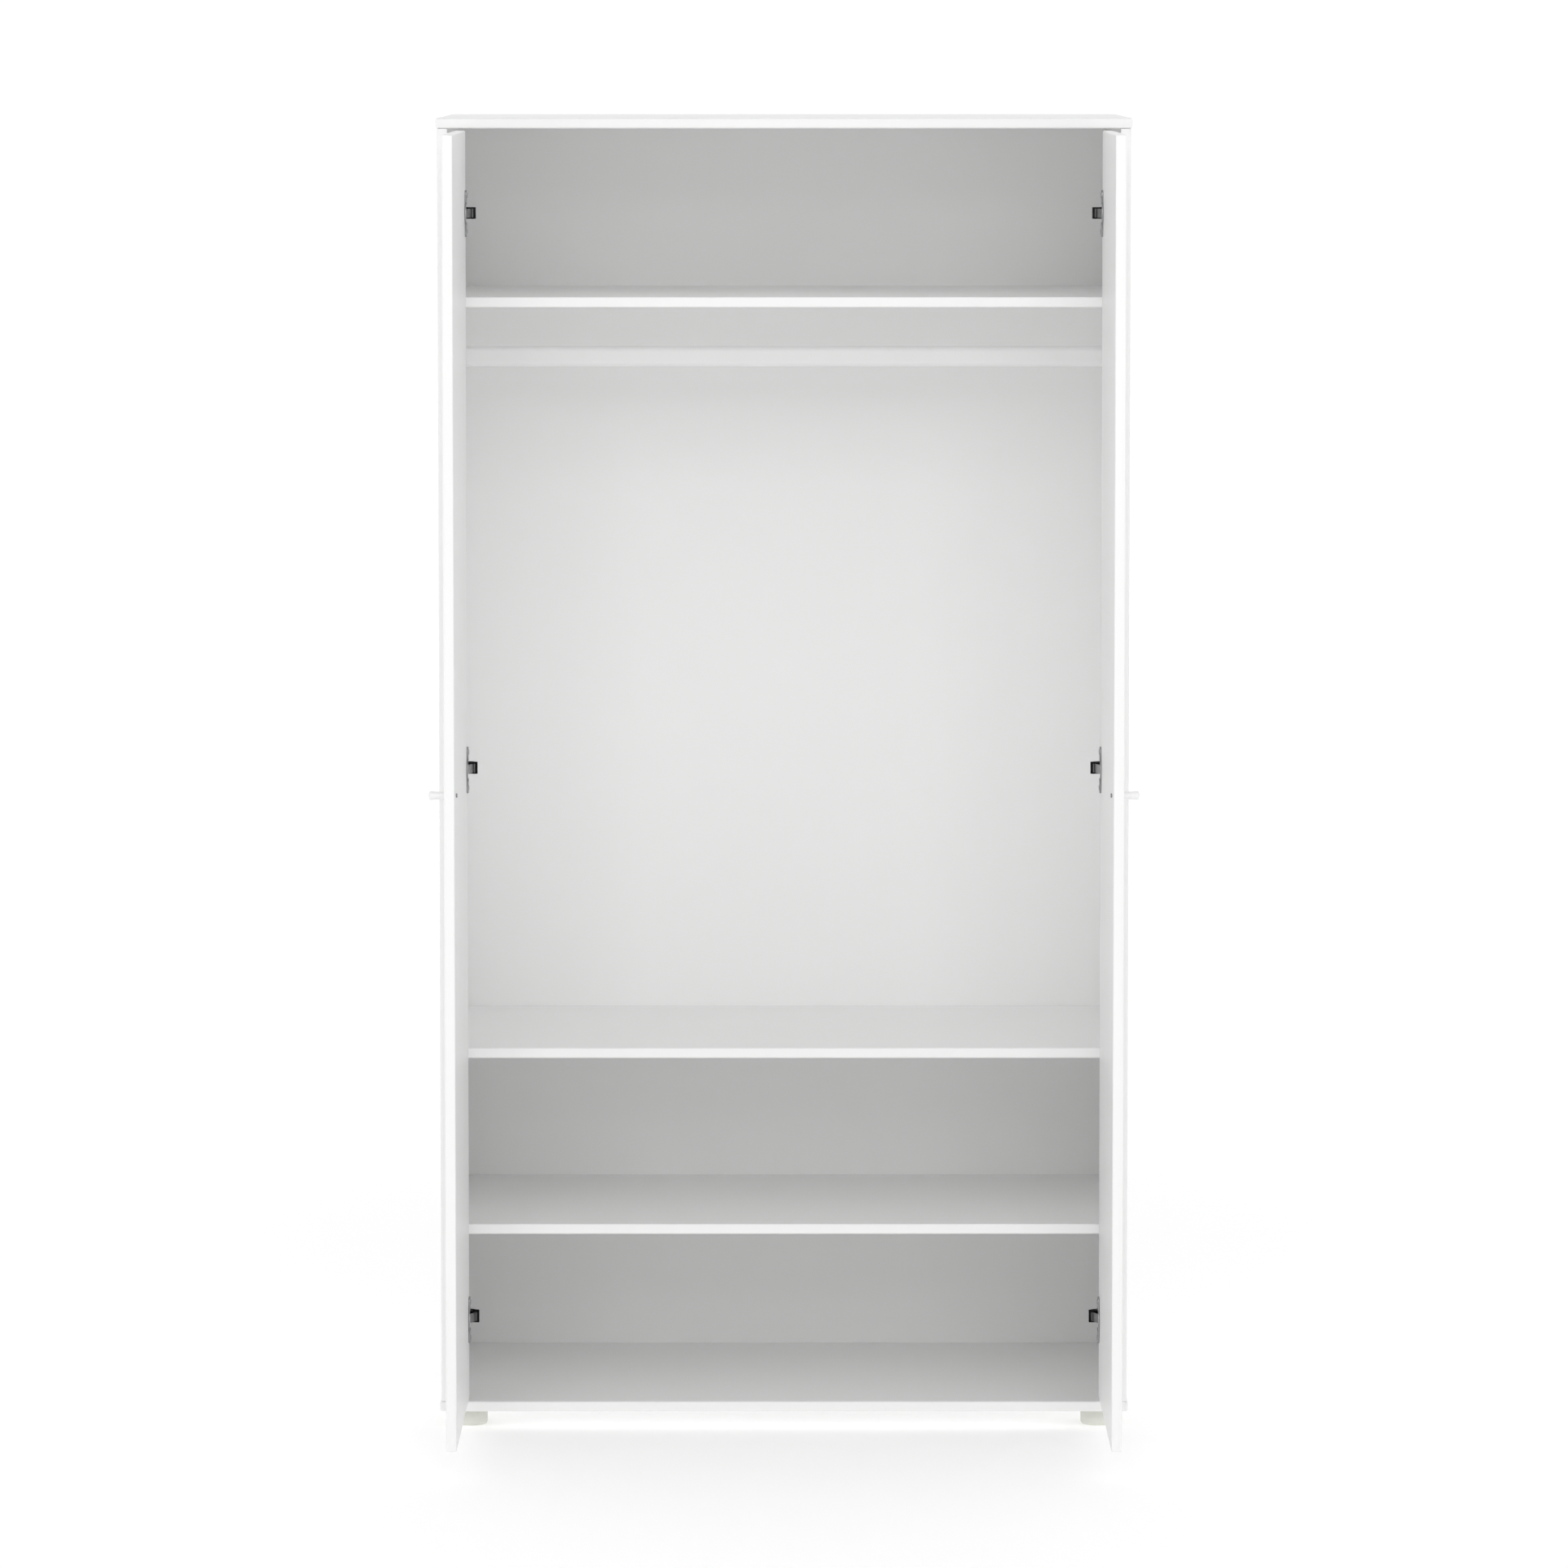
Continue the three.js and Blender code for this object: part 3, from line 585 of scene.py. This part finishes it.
def make_hinge_arm(node):
    """A cranked channel of sheet steel, with a lip at its nose, a riveted pin through it, and two screws."""
    low, high = place_of(node)
    corner = Vector((low.x, low.y))
    length = high.y - low.y
    cut = SEAT["corner_cut"]
    outline = [(0, 0), (NOSE["outer"], 0), (NOSE["outer"], NOSE["front"]), (SEAT["outer"], SEAT["crank"])]
    outline += [(SEAT["outer"], length - cut), (SEAT["outer"] - cut, length), (SEAT["inner"], length)]
    outline += [(SEAT["inner"], SEAT["front"]), (0, NOSE["back"])]
    nose_x = SHEET / 2
    seat_x = SEAT["inner"] + SHEET / 2
    rear = length - SHEET / 2
    web = [(nose_x, 0), (nose_x, 14), (seat_x, 28.5), (seat_x, rear), (30, rear)]
    mesh = bmesh.new()
    ribbon(mesh, [corner + spot for spot in softened(web, 2.5)], SHEET, low.z, high.z, 0.35)
    lip = [corner + Vector(spot) for spot in ((0, 0), (LIP[0], 0), LIP, (0, LIP[1]))]
    prism(mesh, lip, low.z, high.z, 0.2)
    flange = [corner + spot for spot in softened_ring(outline, 1.6)]
    prism(mesh, flange, low.z, low.z + SHEET, 0.35)
    prism(mesh, flange, high.z - SHEET, high.z, 0.35)
    span = high.z - low.z
    proud = 0.3  # how far the rivet's heads stand past the flanges
    rivet = [(0, 0), (1.6, 0.05), (2.1, 0.4), (2.1, 0.6), (1.2, 0.6), (1.2, span / 2), (0, span / 2)]
    for end, height in ((1, low.z - proud), (-1, high.z + proud)):
        lathe(mesh, rivet, (corner.x + PIN[0], corner.y + PIN[1], height), (0, 0, end), sides=32)
    sunk = 0.2
    for screw in ARM_SCREWS:
        under = (corner.x + SEAT["inner"] + sunk, corner.y + screw["y"], (low.z + high.z) / 2)
        cross_head(mesh, under, (-1, 0, 0), screw["radius"], screw["height"], screw["dome"], screw["recess"])
    finish_piece(node, mesh)


LINK = {
    "elbow": (13.5, -19.5),
    "tip": (18.5, -17.6),
    "thickness": 2.2,
    "eye": 2.5,
    "bore": 1.5,
    "start": 2,  # the strip starts inside the wall of its eye
}


def make_hinge_link(node, arm):
    """A bent strip that turns on the arm's pin and reaches round the door's edge into the cup."""
    low, high = place_of(node)
    corner = Vector(place_of(arm)[0].xy)
    pin, elbow, tip = Vector(PIN), Vector(LINK["elbow"]), Vector(LINK["tip"])
    start = pin + (elbow - pin).normalized() * LINK["start"]
    mesh = bmesh.new()
    strip = softened([corner + spot for spot in (start, elbow, tip)], 3.5, 8)
    ribbon(mesh, strip, LINK["thickness"], low.z, high.z, 0.5)
    width = high.z - low.z
    bore, rim = LINK["bore"], LINK["eye"]
    eye = closed_profile([(bore, 0), (rim, 0), (rim, width), (bore, width)], 0.3)
    lathe(mesh, eye, (*(corner + Vector(PIN)), low.z), (0, 0, 1), sides=48)
    finish_piece(node, mesh)


def make_pieces():
    make_rail("clothes_rail")
    for side in ("right", "left"):
        make_knob(f"{side}_knob")
        make_screw(f"{side}_knob_screw", (-1, 0, 0), **KNOB_SCREW)
        make_rail_socket(f"{side}_rail_socket")
        make_screw(f"{side}_rail_socket_screw", (-1, 0, 0), **SOCKET_SCREW)
        for end in ("front", "rear"):
            make_foot(f"{side}_{end}_foot")
            make_screw(f"{side}_{end}_foot_screw", (0, 0, -1), **FOOT_SCREW)
            make_cam_fitting(f"{side}_upper_{end}_cam_fitting", 1)
            make_cam_fitting(f"{side}_lower_{end}_cam_fitting", -1)
        for level in ("lower", "middle", "upper"):
            hinge = f"{side}_{level}_hinge"
            make_hinge_cup(f"{hinge}_cup", f"{side}_door")
            make_hinge_plate(f"{hinge}_plate")
            make_hinge_arm(f"{hinge}_arm")
            make_hinge_link(f"{hinge}_link", f"{hinge}_arm")


# ---------------------------------------------------------------- stage, light and camera
FLOOR = {"half": 60, "albedo": 0.92}  # metres
GLOW = {"near": 0.23, "far": 0.36, "starts": 2, "ends": 14}  # keeps the paper white out to the horizon


def make_stage():
    """A plain white paper floor that reaches to the horizon and glows a little more far away."""
    half = FLOOR["half"]
    mesh = bpy.data.meshes.new("floor")
    corners = [(-half, -half, 0), (half, -half, 0), (half, half, 0), (-half, half, 0)]
    mesh.from_pydata(corners, [], [(0, 1, 2, 3)])
    floor = bpy.data.objects.new("floor", mesh)
    bpy.context.scene.collection.objects.link(floor)
    made = Shader("floor_paper", (FLOOR["albedo"],) * 3, 0.9)
    made.feed("Roughness", made.spread(made.noise(3, 2), 0.85, 0.95))
    made.shader.inputs["Emission Color"].default_value = (1, 1, 1, 1)
    away = made.node("ShaderNodeVectorMath", {"Vector": made.place}, operation="LENGTH").outputs["Value"]
    glow = made.spread(away, GLOW["near"], GLOW["far"], GLOW["starts"], GLOW["ends"])
    made.feed("Emission Strength", glow)
    mesh.materials.append(made.material)


def make_world():
    """A studio all round: even at the sides and behind, bright high in front, and dimmer overhead."""
    sides, high_front, overhead = 1.03, 1.4, 0.5
    world = bpy.data.worlds.new("studio")
    world.use_nodes = True
    tree = world.node_tree
    background = tree.nodes["Background"]
    background.inputs["Color"].default_value = (1, 1, 1, 1)
    split = tree.nodes.new("ShaderNodeSeparateXYZ")
    tree.links.new(tree.nodes.new("ShaderNodeTexCoord").outputs["Generated"], split.inputs["Vector"])

    def between(source, start, end, low, high):
        made = tree.nodes.new("ShaderNodeMapRange")
        made.interpolation_type = "SMOOTHSTEP"
        settings = {"From Min": start, "From Max": end, "To Min": low, "To Max": high}
        for key, value in settings.items():
            made.inputs[key].default_value = value
        tree.links.new(source, made.inputs["Value"])
        return made.outputs["Result"]

    def blended(share, first, second):
        made = tree.nodes.new("ShaderNodeMix")
        tree.links.new(share, made.inputs["Factor"])
        for socket, value in (("A", first), ("B", second)):
            if isinstance(value, bpy.types.NodeSocket):
                tree.links.new(value, made.inputs[socket])
            else:
                made.inputs[socket].default_value = value
        return made.outputs["Result"]

    facing = between(split.outputs["Y"], -0.75, -0.35, 1, 0)
    front = between(split.outputs["Z"], 0.25, 0.45, 0, high_front)
    up = between(split.outputs["Z"], 0.65, 0.85, 0, 1)
    strength = blended(up, blended(facing, sides, front), overhead)
    tree.links.new(strength, background.inputs["Strength"])
    bpy.context.scene.world = world


def make_softbox(name, height, watts):
    """A large rectangular light in front of the wardrobe, aimed at its lower half."""
    distance, aim = 15, 1
    light = bpy.data.lights.new(name, "AREA")
    light.shape = "RECTANGLE"
    light.size, light.size_y = 8, 5
    light.energy = watts
    softbox = bpy.data.objects.new(name, light)
    softbox.location = (0, -distance, height)
    softbox.rotation_euler = (math.pi / 2 - math.atan2(height - aim, distance), 0, 0)
    softbox.visible_camera = False
    bpy.context.scene.collection.objects.link(softbox)


def make_light():
    """The studio, two softboxes, enough bounces for a white interior, and colours as they are."""
    scene = bpy.context.scene
    make_world()
    make_softbox("low_softbox", 3, 195)
    make_softbox("high_softbox", 7, 322)
    scene.cycles.diffuse_bounces = 10
    scene.cycles.max_bounces = 14
    scene.view_settings.view_transform = "Standard"
    scene.view_settings.look = "None"


def make_camera():
    """A long lens far in front, with nothing out of focus."""
    data = bpy.data.cameras.new("camera")
    data.lens = CAMERA_LENS
    data.sensor_width = CAMERA_SENSOR
    data.clip_start = 0.1
    data.clip_end = 200
    camera = bpy.data.objects.new("camera", data)
    camera.location = (0, -CAMERA_DISTANCE, CAMERA_HEIGHT)
    camera.rotation_euler = (math.pi / 2 - CAMERA_PITCH, 0, 0)
    bpy.context.scene.collection.objects.link(camera)
    bpy.context.scene.camera = camera


make_camera()
make_light()
make_stage()
dress_cad_nodes()
make_pieces()
